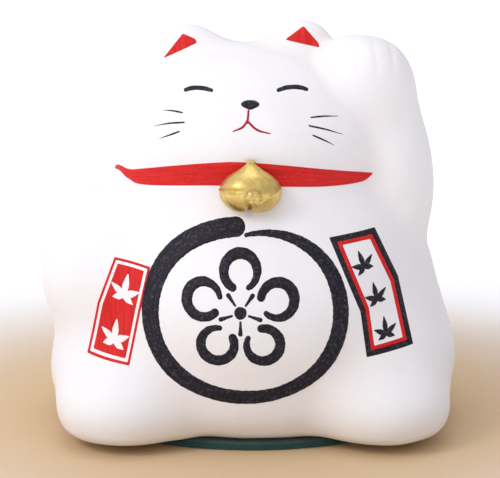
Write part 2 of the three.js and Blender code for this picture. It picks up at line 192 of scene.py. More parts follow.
# The hand-finished surface isn't quite even: slow waves, each a direction, a length and a phase.
WAVES = [
    (heading_of(rng.normal(size=3)) * 2 * math.pi / wavelength, rng.uniform(0, 2 * math.pi), height)
    for wavelength, height in [(34, 0.11), (27, 0.09), (21, 0.07), (15, 0.045), (11, 0.03), (8, 0.018)]
]
# Soft grooves between the toes of the raised paw: x at the top, how far each slants, z range.
TOES = {
    "x": (55.0, 65.0, 74.0), "slant": 0.1, "low": 194.0, "high": 209.0, "back": -14.0,
    "fade": 2.5, "width": 1.3, "depth": 0.8,
}
MOULD_LINE = {"height": 0.1, "width": 0.9}


def form_of(points):
    """The finished skin is where this is 0: the masses with their hand-made detail."""
    x, y, z = points.T
    value = masses_form(points)
    for direction, phase, height in WAVES:
        value = value + height * np.sin(points @ direction + phase)
    window = fade(TOES["low"] - z, TOES["fade"]) * fade(z - TOES["high"], 2.0)
    window = window * fade(y - TOES["back"], TOES["fade"])
    for toe in TOES["x"]:
        across = x - toe - TOES["slant"] * (TOES["high"] - z)
        value = value + TOES["depth"] * window * hill(across, TOES["width"])
    return value - MOULD_LINE["height"] * hill(y - SEAM_Y, MOULD_LINE["width"])


def reach(origin, directions, level, form):
    """The points where rays from an origin inside the form come out at one of its levels."""
    near = np.zeros(len(directions))
    far = np.full(len(directions), REACH_LIMIT)
    for _ in range(28):
        middle = (near + far) / 2
        within = form(origin + directions * middle[:, None]) < level
        near = np.where(within, middle, near)
        far = np.where(within, far, middle)
    return origin + directions * near[:, None]


def normals_at(points, step=0.2):
    slope = np.empty_like(points)
    for axis in range(3):
        offset = np.zeros(3)
        offset[axis] = step
        slope[:, axis] = form_of(points + offset) - form_of(points - offset)
    return unit(slope)


def front_points(xz):
    """Where the skin is first met going back along +Y at each (x, z)."""
    depths = np.arange(-112.0, 6.0, 4.0)
    near = np.full(len(xz), depths[0])
    met = np.zeros(len(xz), bool)
    far = np.full(len(xz), depths[-1])
    for before, after in zip(depths[:-1], depths[1:]):
        within = form_of(np.column_stack([xz[:, 0], np.full(len(xz), after), xz[:, 1]])) < 0
        first = within & ~met
        near[first], far[first] = before, after
        met |= within
    for _ in range(16):
        middle = (near + far) / 2
        within = form_of(np.column_stack([xz[:, 0], middle, xz[:, 1]])) < 0
        far = np.where(within, middle, far)
        near = np.where(within, near, middle)
    return np.column_stack([xz[:, 0], near, xz[:, 1]])


# ---------------------------------------------------------------- mesh helpers
SHARP = 35.0  # edges that turn by more degrees than this are shaded sharp


def add_object(name, data):
    made = bpy.data.objects.new(name, data)
    bpy.context.scene.collection.objects.link(made)
    return made


def add_solid(name, points, faces):
    """An object from millimetre points, with its faces turned outwards."""
    mesh = bpy.data.meshes.new(name)
    mesh.from_pydata(((np.asarray(points) + SHIFT) * MM).tolist(), [], [tuple(f) for f in faces])
    shape = bmesh.new()
    shape.from_mesh(mesh)
    bmesh.ops.recalc_face_normals(shape, faces=shape.faces)
    shape.to_mesh(mesh)
    shape.free()
    return add_object(name, mesh)


def shade(piece, sharp=SHARP):
    piece.data.shade_smooth()
    piece.data.set_sharp_from_angle(angle=math.radians(sharp))


def build(name, points, faces, finish, replaces, body="root", sharp=SHARP):
    """A shown piece from millimetre points, on its body, with its finish and what it stands for."""
    material, slot = finish
    piece = add_solid(name, points, faces)
    shade(piece, sharp)
    piece.data.materials.append(material)
    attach(piece, body)
    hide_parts(*replaces)
    return piece


def numbered(sizes):
    """Lists of running numbers, one list of each size."""
    return [part.tolist() for part in np.split(np.arange(sum(sizes)), np.cumsum(sizes)[:-1])]


def bridge(first, second):
    """Faces between two closed rings; the second has as many points, or a whole share of them."""
    ratio = len(first) // len(second)
    faces = []
    for j in range(len(second)):
        here, after = second[j], second[(j + 1) % len(second)]
        if ratio == 1:
            faces.append((first[j], first[(j + 1) % len(first)], after, here))
            continue
        fan = [first[(j * ratio + k) % len(first)] for k in range(ratio + 1)]
        middle = ratio // 2
        faces += [(fan[k], fan[k + 1], here) for k in range(middle)]
        faces.append((fan[middle], after, here))
        faces += [(fan[k], fan[k + 1], after) for k in range(middle, ratio)]
    return faces


def loft(rings, first=None, last=None):
    """A closed solid from rings with the same number of points, with a point at each end."""
    first = rings[0].mean(axis=0) if first is None else first
    last = rings[-1].mean(axis=0) if last is None else last
    index = np.arange(len(rings) * len(rings[0])).reshape(len(rings), -1).tolist()
    faces = []
    for lower, upper in zip(index[:-1], index[1:]):
        faces += bridge(lower, upper)
    start = index[-1][-1] + 1
    for ring, tip in ((index[0][::-1], start), (index[-1], start + 1)):
        faces += [(here, after, tip) for here, after in zip(ring, ring[1:] + ring[:1])]
    return np.vstack([*rings, first, last]), faces


def lathe(profile, columns):
    """Points and faces turned about Z from (radius, height) pairs that start and end on the axis."""
    angles = np.linspace(0, 2 * math.pi, columns, endpoint=False)
    around = np.column_stack([np.cos(angles), np.sin(angles), np.zeros(columns)])
    ends = [(0, 0, profile[k][1]) for k in (0, -1)]
    return loft([around * radius + [0, 0, height] for radius, height in profile[1:-1]], *ends)


def smooth_profile(points, steps):
    """A Catmull-Rom curve through 2-D points."""
    p = np.array(points, float)
    p = np.vstack([2 * p[0] - p[1], p, 2 * p[-1] - p[-2]])
    out = []
    for i in range(1, len(p) - 2):
        for t in np.linspace(0, 1, steps, endpoint=False):
            a, b, c, d = p[i - 1:i + 3]
            out.append(0.5 * (2 * b + (c - a) * t + (2 * a - 5 * b + 4 * c - d) * t**2
                              + (3 * b - a - 3 * c + d) * t**3))
    out.append(p[-2])
    return np.array(out)


# ---------------------------------------------------------------- materials
class Finish:
    """A material, with short ways to add shader nodes to it."""

    def __init__(self, name):
        self.material = bpy.data.materials.new(name)
        self.material.use_nodes = True
        self.nodes = self.material.node_tree.nodes

    def put(self, socket, value):
        """Gives a socket a constant, or links another node's output to it."""
        if isinstance(value, bpy.types.NodeSocket):
            self.material.node_tree.links.new(value, socket)
        elif socket.type == "RGBA":
            socket.default_value = (*value, 1)
        else:
            socket.default_value = value

    def finished(self, inputs):
        """Sets the surface shader's inputs and gives the material."""
        for name, value in inputs.items():
            self.put(self.nodes["Principled BSDF"].inputs[name], value)
        return self.material

    def node(self, kind, inputs, **settings):
        made = self.nodes.new("ShaderNode" + kind)
        for name, value in settings.items():
            setattr(made, name, value)
        for name, value in inputs.items():
            self.put(made.inputs[name], value)
        return made

    def place(self, scale, uv=False, stretch=(1, 1, 1)):
        """Coordinates in the figure's millimetres times a scale, or along the brush with uv."""
        if uv:
            vector = self.node("UVMap", {}, uv_map="brush").outputs["UV"]
        else:
            vector = self.node("TexCoord", {}).outputs["Object"]
            scale = scale / MM
        scales = tuple(scale * share for share in stretch)
        return self.node("Mapping", {"Vector": vector, "Scale": scales}).outputs["Vector"]

    def noise(self, vector, detail=4.0, roughness=0.55):
        inputs = {"Scale": 1.0, "Detail": detail, "Roughness": roughness, "Vector": vector}
        return self.node("TexNoise", inputs).outputs["Fac"]

    def ramp(self, value, low, high, colours=((0, 0, 0), (1, 1, 1))):
        """A smooth step from low to high, between 0 and 1 or between two colours."""
        node = self.node("ValToRGB", {"Fac": value})
        node.color_ramp.interpolation = "EASE"
        for element, position, colour in zip(node.color_ramp.elements, (low, high), colours):
            element.position = position
            element.color = (*colour, 1)
        return node.outputs["Color"]

    def mix(self, amount, a, b, mode="MIX"):
        """Mixes two colours; each is a socket or a constant."""
        inputs = {0: amount, 6: a, 7: b}
        return self.node("Mix", inputs, data_type="RGBA", blend_type=mode).outputs[2]

    def level(self, value, low, high):
        """Turns a 0 to 1 value into one between low and high."""
        inputs = {"To Min": low, "To Max": high, "Value": value}
        return self.node("MapRange", inputs).outputs["Result"]

    def bump(self, height, distance_mm, strength, before=None):
        inputs = {"Distance": distance_mm * MM, "Strength": strength, "Height": height}
        if before is not None:
            inputs["Normal"] = before
        return self.node("Bump", inputs).outputs["Normal"]

    def crease(self, low, high):
        """A smooth step of the crease attribute, which the materials use to paint shade in creases and
        sunk places.
        """
        depth = self.node("Attribute", {}, attribute_name="crease").outputs["Fac"]
        return self.ramp(depth, low, high)


def ceramic_material():
    """Matt white clay paint: faint clouds of warm and cool white, brush marks, fine grain, and a painted
    shade that warms and darkens its creases.
    """
    clay = Finish("ceramic")
    cloud = clay.noise(clay.place(0.035), 3)
    colour = clay.ramp(cloud, 0.3, 0.7, ((0.905, 0.888, 0.885), (0.885, 0.880, 0.900)))
    blotch = clay.noise(clay.place(0.22), 5)
    colour = clay.mix(clay.level(blotch, 0, 0.3), colour, (0.80, 0.76, 0.77))
    speck = clay.node("TexVoronoi", {"Scale": 1.0, "Vector": clay.place(0.19)})
    dots = clay.ramp(speck.outputs["Distance"], 0.035, 0.06, ((1, 1, 1), (0, 0, 0)))
    rare = clay.ramp(clay.noise(clay.place(0.11), 2), 0.55, 0.62)
    dots = clay.mix(1.0, dots, rare, "MULTIPLY")
    colour = clay.mix(clay.level(dots, 0, 0.35), colour, (0.52, 0.44, 0.38))
    # Painted shade: a warm pinkish darkening wherever the skin lies deep in a crease.
    colour = clay.mix(clay.level(clay.crease(0.1, 0.95), 0, 0.30), colour, (0.80, 0.62, 0.58))
    grain = clay.noise(clay.place(1.4), 3, 0.6)
    strokes = clay.noise(clay.place(0.35, stretch=(0.35, 1, 2.2)), 4)
    normal = clay.bump(strokes, 0.12, 0.35, clay.bump(grain, 0.05, 0.45))
    return clay.finished({
        "Base Color": colour, "Normal": normal,
        "Roughness": clay.level(blotch, 0.48, 0.72), "Specular IOR Level": 0.35,
    })


def brush_paint(name, dark, light, patch, roughness=(0.42, 0.7)):
    """Brush paint: streaks of a second tone along the stroke, with thin mottled patches."""
    paint = Finish(name)
    streak = paint.noise(paint.place(1.0, uv=True, stretch=(0.05, 0.9, 1)), 5, 0.65)
    colour = paint.ramp(streak, 0.38, 0.72, (dark, light))
    mottle = paint.noise(paint.place(0.6), 5, 0.7)
    thin = paint.ramp(mottle, 0.5, 0.68)
    colour = paint.mix(paint.level(thin, 0, 0.75), colour, patch)
    fine = paint.noise(paint.place(2.2), 3, 0.6)
    normal = paint.bump(fine, 0.04, 0.4, paint.bump(streak, 0.10, 0.5))
    return paint.finished({
        "Base Color": colour, "Normal": normal,
        "Roughness": paint.level(mottle, *roughness), "Specular IOR Level": 0.18,
    })


def gold_material():
    """Gold paint over the moulded bell: brushed streaks, mottled patches and painted shade that darkens
    its sunk places.
    """
    gold = Finish("gold")
    streak = gold.noise(gold.place(0.5, stretch=(1, 1, 0.5)), 5, 0.6)
    colour = gold.ramp(streak, 0.3, 0.72, ((0.62, 0.43, 0.115), (0.80, 0.60, 0.22)))
    mottle = gold.noise(gold.place(0.9), 4, 0.7)
    colour = gold.mix(gold.level(mottle, 0, 0.35), colour, (0.64, 0.50, 0.16))
    # Painted shade: darkens the bell's grooves, cleft and the ring round its boss to brown.
    colour = gold.mix(gold.level(gold.crease(0.15, 0.9), 0, 0.75), colour, (0.30, 0.16, 0.03))
    normal = gold.bump(mottle, 0.10, 0.5, gold.bump(streak, 0.12, 0.4))
    return gold.finished({
        "Base Color": colour, "Normal": normal, "Metallic": 0.75,
        "Roughness": gold.level(mottle, 0.24, 0.42),
    })


def felt_material():
    felt = Finish("green_felt")
    fibre = felt.noise(felt.place(1.6, stretch=(1, 1, 2)), 6, 0.8)
    cloud = felt.noise(felt.place(0.12), 3)
    colour = felt.ramp(fibre, 0.3, 0.75, ((0.003, 0.035, 0.030), (0.012, 0.120, 0.095)))
    colour = felt.mix(felt.level(cloud, 0, 0.4), colour, (0.003, 0.050, 0.055))
    return felt.finished({
        "Base Color": colour, "Normal": felt.bump(fibre, 0.5, 0.9), "Roughness": 1.0,
        "Sheen Weight": 0.35, "Sheen Roughness": 0.5,
    })


def rubber_material():
    rubber = Finish("rubber")
    cloud = rubber.noise(rubber.place(0.3), 5, 0.6)
    colour = rubber.ramp(cloud, 0.3, 0.7, ((0.24, 0.225, 0.205), (0.33, 0.31, 0.285)))
    grain = rubber.noise(rubber.place(2.5), 3, 0.7)
    return rubber.finished({
        "Base Color": colour, "Normal": rubber.bump(grain, 0.05, 0.6),
        "Roughness": rubber.level(cloud, 0.6, 0.85),
    })


# Each finish is a material and the frame's slot that it stands for.
CERAMIC = (ceramic_material(), "ceramic")
BLACK = (
    brush_paint("black_paint", (0.010, 0.009, 0.013), (0.024, 0.021, 0.031), (0.085, 0.072, 0.105)),
    "black_paint",
)
RED = (
    brush_paint("red_paint", (0.60, 0.012, 0.012), (0.76, 0.026, 0.022), (0.64, 0.045, 0.04), (0.5, 0.68)),
    "red_paint",
)
DARK_RED = (
    brush_paint("mouth_red", (0.36, 0.015, 0.02), (0.48, 0.02, 0.03), (0.40, 0.03, 0.04)),
    "red_paint",
)
GOLD = (gold_material(), "gold_paint")
GREEN_FELT = (felt_material(), "green_felt")
RUBBER = (rubber_material(), "rubber")

# ---------------------------------------------------------------- the two halves of the body
SHELL_COLUMNS = 640
SHELL_ROWS = 150
HOLLOW_COLUMNS = 160
HOLLOW_ROWS = 36
CREASE_DEPTH = 7.0  # how far off the skin the space is tested for a crease
# The coin slot's cutter: how far out from the skin each of its rings lies, and how far it flares.
SLOT_RINGS = [(-24.0, 0.0), (-1.6, 0.0), (-0.8, 0.18), (-0.3, 0.5), (0.05, 1.0), (0.6, 2.0), (9.0, 2.0)]
SLOT_START_Y = 10.0  # inside the head, in front of the slot
# The base hole's cutter: the height of each ring over the ceramic's underside, and its flare.
HOLE_RINGS = [(-3, 1.2), (0, 0.5), (0.8, 0.0), (20, 0.0)]


def dome(side, form, at_level, columns, rows):
    """Half a skin, as rings that start in the seam plane and thin out towards the far pole."""
    origin = np.array([EYE[0], SEAM_Y + side * SEAM_HAIR, EYE[2]])
    angles = np.linspace(0, 2 * math.pi, columns, endpoint=False)
    around = np.column_stack([np.cos(angles), np.zeros(columns), np.sin(angles)])
    seam = reach(origin, around, at_level, form)
    to_seam = seam - EYE
    from_pole = np.arctan2(np.hypot(to_seam[:, 0], to_seam[:, 2]), side * to_seam[:, 1])
    directions, sizes = [], []
    for row in range(1, rows):
        share = 1 - row / rows
        stride = min(2 ** int(math.log2(1 / share)), columns // 10)
        angle = from_pole[::stride] * share
        ring = around[::stride] * np.sin(angle)[:, None]
        ring[:, 1] = side * np.cos(angle)
        directions.append(ring)
        sizes.append(len(ring))
    directions.append(np.array([[0.0, side, 0.0]]))
    skin = reach(EYE, np.vstack(directions), at_level, form)
    points = np.vstack([seam, skin])
    rings = numbered([columns, *sizes])
    faces = []
    for outer, inner in zip(rings[:-1], rings[1:]):
        faces += bridge(outer, inner)
    last = rings[-1]
    faces += [(here, after, last[-1] + 1) for here, after in zip(last, last[1:] + last[:1])]
    return points, faces


def half_shell(side):
    outer, outer_faces = dome(side, form_of, 0.0, SHELL_COLUMNS, SHELL_ROWS)
    inner, inner_faces = dome(side, hollow_form, -WALL, HOLLOW_COLUMNS, HOLLOW_ROWS)
    start = len(outer)
    moved = [tuple(start + i for i in face) for face in inner_faces]
    rim = bridge(list(range(SHELL_COLUMNS)), [start + k for k in range(HOLLOW_COLUMNS)])
    return np.vstack([outer, inner]), outer_faces + moved + rim


def points_of(piece):
    """A piece's vertices in the figure's millimetres."""
    found = np.empty(len(piece.data.vertices) * 3)
    piece.data.vertices.foreach_get("co", found)
    return found.reshape(-1, 3) / MM - SHIFT


def add_crease(piece, values):
    attribute = piece.data.attributes.new("crease", "FLOAT", "POINT")
    attribute.data.foreach_set("value", np.asarray(values, np.float32))


def crease_of(points):
    """About 0 on open skin and 1 deep between two masses."""
    away = points + normals_at(points) * CREASE_DEPTH
    return np.clip((CREASE_DEPTH - masses_form(away)) / CREASE_DEPTH * 1.6, 0, 1)


def cut(piece, cutter):
    """Takes the cutter's solid out of a piece."""
    modifier = piece.modifiers.new("cut", "BOOLEAN")
    modifier.operation = "DIFFERENCE"
    modifier.solver = "MANIFOLD"
    modifier.object = cutter
    bpy.context.view_layer.update()
    shape = piece.evaluated_get(bpy.context.evaluated_depsgraph_get())
    mesh = bpy.data.meshes.new_from_object(shape)
    piece.modifiers.clear()
    piece.data = mesh
    bpy.data.objects.remove(cutter)



def back_points(xz):
    """Where lines along +Y from inside the head come out of the skin at each (x, z)."""
    starts = np.column_stack([xz[:, 0], np.full(len(xz), SLOT_START_Y), xz[:, 1]])
    return reach(starts, np.tile([0.0, 1.0, 0.0], (len(xz), 1)), 0.0, form_of)


def slot_cutter():
    """The coin slot, with its lip softened where it meets the skin."""
    corner = SLOT["height"] / 2 - 0.3
    quarter = np.linspace(0, math.pi / 2, 7)
    outline = []
    for sign_x, sign_z, turn in ((1, 1, 0), (-1, 1, 1), (-1, -1, 2), (1, -1, 3)):
        for a in quarter + turn * math.pi / 2:
            outline.append((sign_x * (SLOT["width"] / 2 - corner) + corner * math.cos(a),
                            sign_z * (SLOT["height"] / 2 - corner) + corner * math.sin(a)))
    outline = np.array(outline)
    outwards = unit(outline * [0.25, 1.0])
    rings = []
    for out, flare in SLOT_RINGS:
        skin = back_points(outline + outwards * flare + [SLOT["x"], SLOT["z"]])
        rings.append(skin + [0, out, 0])
    return add_solid("cutter", *loft(rings))


def hole_cutter():
    """The stopper's hole through the base, with a softened rim."""
    profile = [(HOLE["radius"] + flare, CERAMIC_BOTTOM + height) for height, flare in HOLE_RINGS]
    points, faces = lathe([(0, profile[0][1]), *profile, (0, profile[-1][1])], 96)
    return add_solid("cutter", points + [0, HOLE["y"], 0], faces)


def body_halves():
    for name, side in (("front_shell", -1), ("back_shell", 1)):
        points, faces = half_shell(side)
        piece = build(name + "_ceramic", points, faces, CERAMIC, [name])
        if side == 1:
            cut(piece, slot_cutter())
            cut(piece, hole_cutter())
            shade(piece)
        # How deep each point lies in a crease; the ceramic is darkened there as painted shade.
        add_crease(piece, crease_of(points_of(piece)))


# ---------------------------------------------------------------- painted films
FILM = 0.26  # how far a painted mark stands off the ceramic
FILM_EDGE = 0.5  # width of its rounded edge
FILM_ROOT = 0.3  # how deep it sinks into the ceramic
FILM_LIFT = 0.02  # keeps its edge off the ceramic


def inside(points, polygon):
    """Which points lie inside a closed polygon."""
    x, z = points.T
    result = np.zeros(len(points), bool)
    for (x1, z1), (x2, z2) in zip(polygon, np.roll(polygon, -1, axis=0)):
        crosses = (z1 > z) != (z2 > z)
        if z1 != z2:
            result ^= crosses & (x < (x2 - x1) * (z - z1) / (z2 - z1) + x1)
    return result


def to_segments(points, starts, ends):
    """The distance from each point to the nearest of some line segments."""
    along = ends - starts
    squared = np.maximum((along**2).sum(axis=1), 1e-12)
    best = np.full(len(points), 1e9)
    for chunk in range(0, len(points), 2000):
        p = points[chunk:chunk + 2000, None]
        t = np.clip(((p - starts) * along).sum(axis=2) / squared, 0, 1)
        gap = p - starts - along * t[..., None]
        best[chunk:chunk + 2000] = np.sqrt((gap**2).sum(axis=2)).min(axis=1)
    return best


def closed_segments(polygons):
    return (np.vstack(polygons), np.vstack([np.roll(p, -1, axis=0) for p in polygons]))


def triangles_of(outlines, holes, pitch):
    """The joined area of some outlines, less the holes, as an even triangle mesh."""
    loops = [*outlines, *holes]
    low = np.vstack(outlines).min(axis=0)
    high = np.vstack(outlines).max(axis=0)
    rows = np.arange(low[1], high[1], pitch * math.sqrt(3) / 2)
    lattice = []
    for i, z in enumerate(rows):
        columns = np.arange(low[0] + (i % 2) * pitch / 2, high[0], pitch)
        lattice.append(np.column_stack([columns, np.full(len(columns), z)]))
    lattice = np.vstack(lattice)
    kept = np.zeros(len(lattice), bool)
    for outline in outlines:
        kept |= inside(lattice, outline)
    for hole in holes:
        kept &= ~inside(lattice, hole)
    lattice = lattice[kept]
    lattice = lattice[to_segments(lattice, *closed_segments(loops)) > 0.55 * pitch]
    edge_points = np.vstack(loops)
    faces = numbered([len(loop) for loop in loops])
    coordinates = [Vector(p) for p in np.vstack([edge_points, lattice])]
    found, _, cells, *_ = delaunay_2d_cdt(coordinates, [], faces, 1, 1e-5)
    found = np.array([tuple(v) for v in found])
    cells = np.array(cells)
    middles = found[cells].mean(axis=1)
    kept = np.ones(len(cells), bool)
    for hole in holes:
        kept &= ~inside(middles, hole)
    cells = cells[kept]
    used = np.unique(cells)
    renumber = np.full(len(found), -1)
    renumber[used] = np.arange(len(used))
    return found[used], renumber[cells]


def rim_of(cells):
    """The directed edges that only one triangle has."""
    edges = {}
    for a, b, c in cells.tolist():
        for edge in ((a, b), (b, c), (c, a)):
            edges[edge] = True
    return [edge for edge in edges if (edge[1], edge[0]) not in edges]


def brush_places(flat, paths):
    """How far each point lies along the nearest brush stroke, and how far to its side."""
    along = flat[:, 1].copy()
    across = flat[:, 0].copy()
    nearest = np.full(len(flat), 1e9)
    travelled = 0.0
    for path in paths:
        reached = np.concatenate([[0], np.cumsum(length_of(np.diff(path, axis=0)))])
        gaps = flat[:, None] - path[None]
        distance = np.sqrt((gaps**2).sum(axis=2))
        at = distance.argmin(axis=1)
        closest = distance[np.arange(len(flat)), at]
        heading = unit(np.gradient(path, axis=0))[at]
        gap = gaps[np.arange(len(flat)), at]
        side = heading[:, 0] * gap[:, 1] - heading[:, 1] * gap[:, 0]
        forward = (heading * gap).sum(axis=1)
        better = closest < nearest
        nearest = np.where(better, closest, nearest)
        along = np.where(better, travelled + reached[at] + forward, along)
        across = np.where(better, side, across)
        travelled += reached[-1] + 20
    return along, across


def write_brush_uv(piece, along, across):
    """UVs in millimetres, along the brush and across it, for every vertex."""
    layer = piece.data.uv_layers.new(name="brush")
    corners = np.empty(len(piece.data.loops), np.int32)
    piece.data.loops.foreach_get("vertex_index", corners)
    uv = np.column_stack([along, across])[corners]
    layer.data.foreach_set("uv", uv.astype(np.float32).ravel())


def film(node, outlines, finish, holes=(), pitch=0.8, paths=(), height=FILM, shown=None):
    """A painted mark: outlines in X and Z laid on the front of the cat as a thin closed film.

    It stands for the frame's node of that name, and is shown under that name and _paint.
    """
    flat, cells = triangles_of([np.asarray(o, float) for o in outlines],
                               [np.asarray(h, float) for h in holes], pitch)
    rim = rim_of(cells)
    starts = flat[[a for a, _ in rim]]
    ends = flat[[b for _, b in rim]]
    depth = np.clip(to_segments(flat, starts, ends) / FILM_EDGE, 0, 1)
    swell = height * np.sqrt(1 - (1 - depth) ** 2)
    ground = front_points(flat)
    normals = normals_at(ground)
    top = ground + normals * (swell + FILM_LIFT)[:, None]
    bottom = ground - normals * FILM_ROOT
    count = len(flat)
    faces = [tuple(c) for c in cells.tolist()]
    faces += [(c[2] + count, c[1] + count, c[0] + count) for c in cells.tolist()]
    faces += [(b, a, a + count, b + count) for a, b in rim]
    points = np.vstack([top, bottom])
    piece = build(shown or node + "_paint", points, faces, finish, [node], sharp=70)
    write_brush_uv(piece, *brush_places(np.vstack([flat, flat]), paths))


# ---------------------------------------------------------------- outlines in X and Z
def ragged(count, size, periods, closed=False):
    """A wavering of about the given size, for the edge of a brush stroke."""
    t = np.linspace(0, 1, count, endpoint=not closed)
    value = np.zeros(count)
    for period in periods:
        turns = max(1, round(period))
        value += np.sin(2 * math.pi * turns * t + rng.uniform(0, 2 * math.pi)) * rng.uniform(0.5, 1)
    return size * value / math.sqrt(len(periods))


def stroke(path, halves, waver=0.06):
    """A brush stroke with round ends: half-widths run evenly from the first to the last."""
    path = np.asarray(path, float)
    steps = length_of(np.diff(path, axis=0))
    reached = np.concatenate([[0], np.cumsum(steps)])
    half = np.interp(reached / reached[-1], np.linspace(0, 1, len(halves)), halves)
    ripples = [reached[-1] / 9 + 1, reached[-1] / 4 + 1, reached[-1] / 2 + 1]
    heading = unit(np.gradient(path, axis=0))
    side = np.column_stack([-heading[:, 1], heading[:, 0]])
    left = path + side * (half + ragged(len(path), waver, ripples))[:, None]
    right = path - side * (half + ragged(len(path), waver, ripples))[:, None]

    def cap(centre, direction, first, last):
        radius = (length(first - centre) + length(last - centre)) / 2
        sideways = heading_of(first - centre)
        angles = np.linspace(0, math.pi, 9)[1:-1]
        return [centre + radius * (math.cos(a) * sideways + math.sin(a) * direction) for a in angles]

    end_cap = cap(path[-1], heading[-1], left[-1], right[-1])
    start_cap = cap(path[0], -heading[0], right[0], left[0])
    return np.vstack([left, end_cap, right[::-1], start_cap])


def line(start, end, pitch=0.6):
    start, end = np.array(start, float), np.array(end, float)
    count = max(3, int(length(end - start) / pitch))
    return start + (end - start) * np.linspace(0, 1, count)[:, None]


def curve(points, pitch=0.6):
    """A smooth path through a few points, evenly spaced."""
    fine = smooth_profile(points, 24)
    reached = np.concatenate([[0], np.cumsum(length_of(np.diff(fine, axis=0)))])
    count = max(4, int(reached[-1] / pitch))
    at = np.linspace(0, reached[-1], count)
    return np.column_stack([np.interp(at, reached, fine[:, k]) for k in range(2)])


def inset(points, by):
    """Moves each corner of an anticlockwise outline inwards by the same distance."""
    p = np.array(points, float)
    into = unit(p - np.roll(p, 1, axis=0))
    out = unit(np.roll(p, -1, axis=0) - p)
    normals = np.column_stack([-into[:, 1] - out[:, 1], into[:, 0] + out[:, 0]])
    turn = np.arccos(np.clip((into * out).sum(axis=1), -1, 1))
    return p + unit(normals) * (by / np.cos(turn / 2))[:, None]


def rounded(points, radius, pitch=0.8):
    """An outline with rounded corners and evenly divided sides."""
    p = np.array(points, float)
    out = []
    for before, here, after in zip(np.roll(p, 1, axis=0), p, np.roll(p, -1, axis=0)):
        a, c = (here + heading_of(end - here) * min(radius, 0.45 * length(end - here))
                for end in (before, after))
        for t in np.linspace(0, 1, 6):
            out.append((1 - t) ** 2 * a + 2 * t * (1 - t) * here + t**2 * c)
    out = np.array(out)
    dense = []
    for start, end in zip(out, np.roll(out, -1, axis=0)):
        count = max(1, int(length(end - start) / pitch))
        dense += [start + (end - start) * k / count for k in range(count)]
    return np.array(dense)


def frame_film(node, corners, outer, inner, finish):
    """A label's border between two insets of its corners."""
    film(node, [label_outline(corners, outer)], finish, holes=[label_outline(corners, inner)])


def label_outline(corners, by):
    return rounded(inset(corners, by), LABEL_CORNER)


# ---------------------------------------------------------------- face
EARS_INSIDE = {
    "left_ear": [(-48.7, 199), (-30, 207.5), (-31, 209.5), (-38, 212.3)],
    "right_ear": [(36.8, 205), (36.3, 207.4), (28.2, 216.3), (18, 209.2)],
}
EYES = {
    "left_eye": [(-35.3, 185.4), (-32.3, 186.4), (-28.6, 186.8), (-24.8, 186.6), (-21.4, 185.9)],
    "right_eye": [(13.8, 186.1), (17.5, 187.1), (21.7, 187.4), (25.6, 187.0), (28.8, 186)],
}
EYE_HALVES = [0.95, 1.1, 1.05, 1.1, 0.9]
NOSE = [(4, 180), (1.5, 181.5), (-3.5, 181.5), (-6, 180), (-5.5, 178.5), (-1, 176.6), (3.5, 178.5)]
MOUTH = [
    ([(-1.9, 176.4), (-2.2, 173), (-2.6, 170.5)], [0.55, 0.6, 0.6]),
    ([(-2.4, 171.6), (-5, 168.3), (-9.9, 166.2)], [0.6, 0.6, 0.3]),
    ([(-2.6, 171.4), (2.6, 167), (9.3, 165.1)], [0.6, 0.6, 0.3]),
]
WHISKERS = {
    "left_whisker_top": [(-36.8, 174.4), (-42, 174.9), (-47.2, 174.8)],
    "left_whisker_middle": [(-35.7, 169.7), (-44, 168.6), (-52, 166.5)],
    "left_whisker_bottom": [(-38.3, 165), (-44, 162.6), (-49.1, 160.5)],
    "right_whisker_top": [(30.9, 172.4), (38, 172.6), (45.5, 172)],
    "right_whisker_middle": [(29.8, 168.4), (39, 166), (47.9, 162.9)],
    "right_whisker_bottom": [(31.9, 163.5), (38, 160.6), (43.2, 157.7)],
}
WHISKER_HALVES = [0.38, 0.45, 0.38, 0.24, 0.1]


def brush_lines(marks, halves, waver, pitch):
    for node, points in marks.items():
        path = curve(points, 0.4)
        film(node, [stroke(path, halves, waver)], BLACK, pitch=pitch, paths=[path])


def face():
    for ear, corners in EARS_INSIDE.items():
        film(ear + "_inside", [rounded(corners, 1.2, 0.5)], RED, pitch=0.6, shown=ear + "_red")
    brush_lines(EYES, EYE_HALVES, 0.04, 0.4)
    film("nose", [rounded(NOSE, 1.4, 0.4)], BLACK, pitch=0.5, height=0.45)
    mouth = [(curve(points, 0.3), halves) for points, halves in MOUTH]
    film("mouth", [stroke(path, halves, 0.03) for path, halves in mouth], DARK_RED,
         pitch=0.35, paths=[path for path, _ in mouth])
    brush_lines(WHISKERS, WHISKER_HALVES, 0.03, 0.35)


# ---------------------------------------------------------------- belly
PETAL_HALVES = [1.4, 2.4, 2.9, 2.6, 2.2]
STAMEN_HALVES = [0.6, 0.8, 1.2]
HEART_POINTS = 40
def ring_point(angle, outwards):
    """A point on the ring's path, clockwise from its top, or a little outside it."""
    bulge = 1 + RING["square"] * np.sin(2 * angle) ** 2
    return np.column_stack([
        RING["x"] + (RING["radius_x"] * bulge + outwards) * np.sin(angle),
        RING["z"] + (RING["radius_z"] * bulge + outwards) * np.cos(angle),
    ])

def belly_ring():
    """The brush ring starts thin, just inside the place where its thick end finishes."""
    t = np.linspace(0, 1, 420)
    angle = np.radians(RING["start"] + (RING["end"] - RING["start"]) * t)
    half = np.interp(t, np.linspace(0, 1, len(RING["halves"])), RING["halves"])
    path = ring_point(angle, -RING["inset"] * np.exp(-RING["ease"] * t))
    film("belly_ring", [stroke(path, half, 0.13)], BLACK, pitch=0.9, paths=[path], height=0.4)


def around_point(centre, radii, turns):
    return centre + radii * np.column_stack([np.cos(turns), np.sin(turns)])


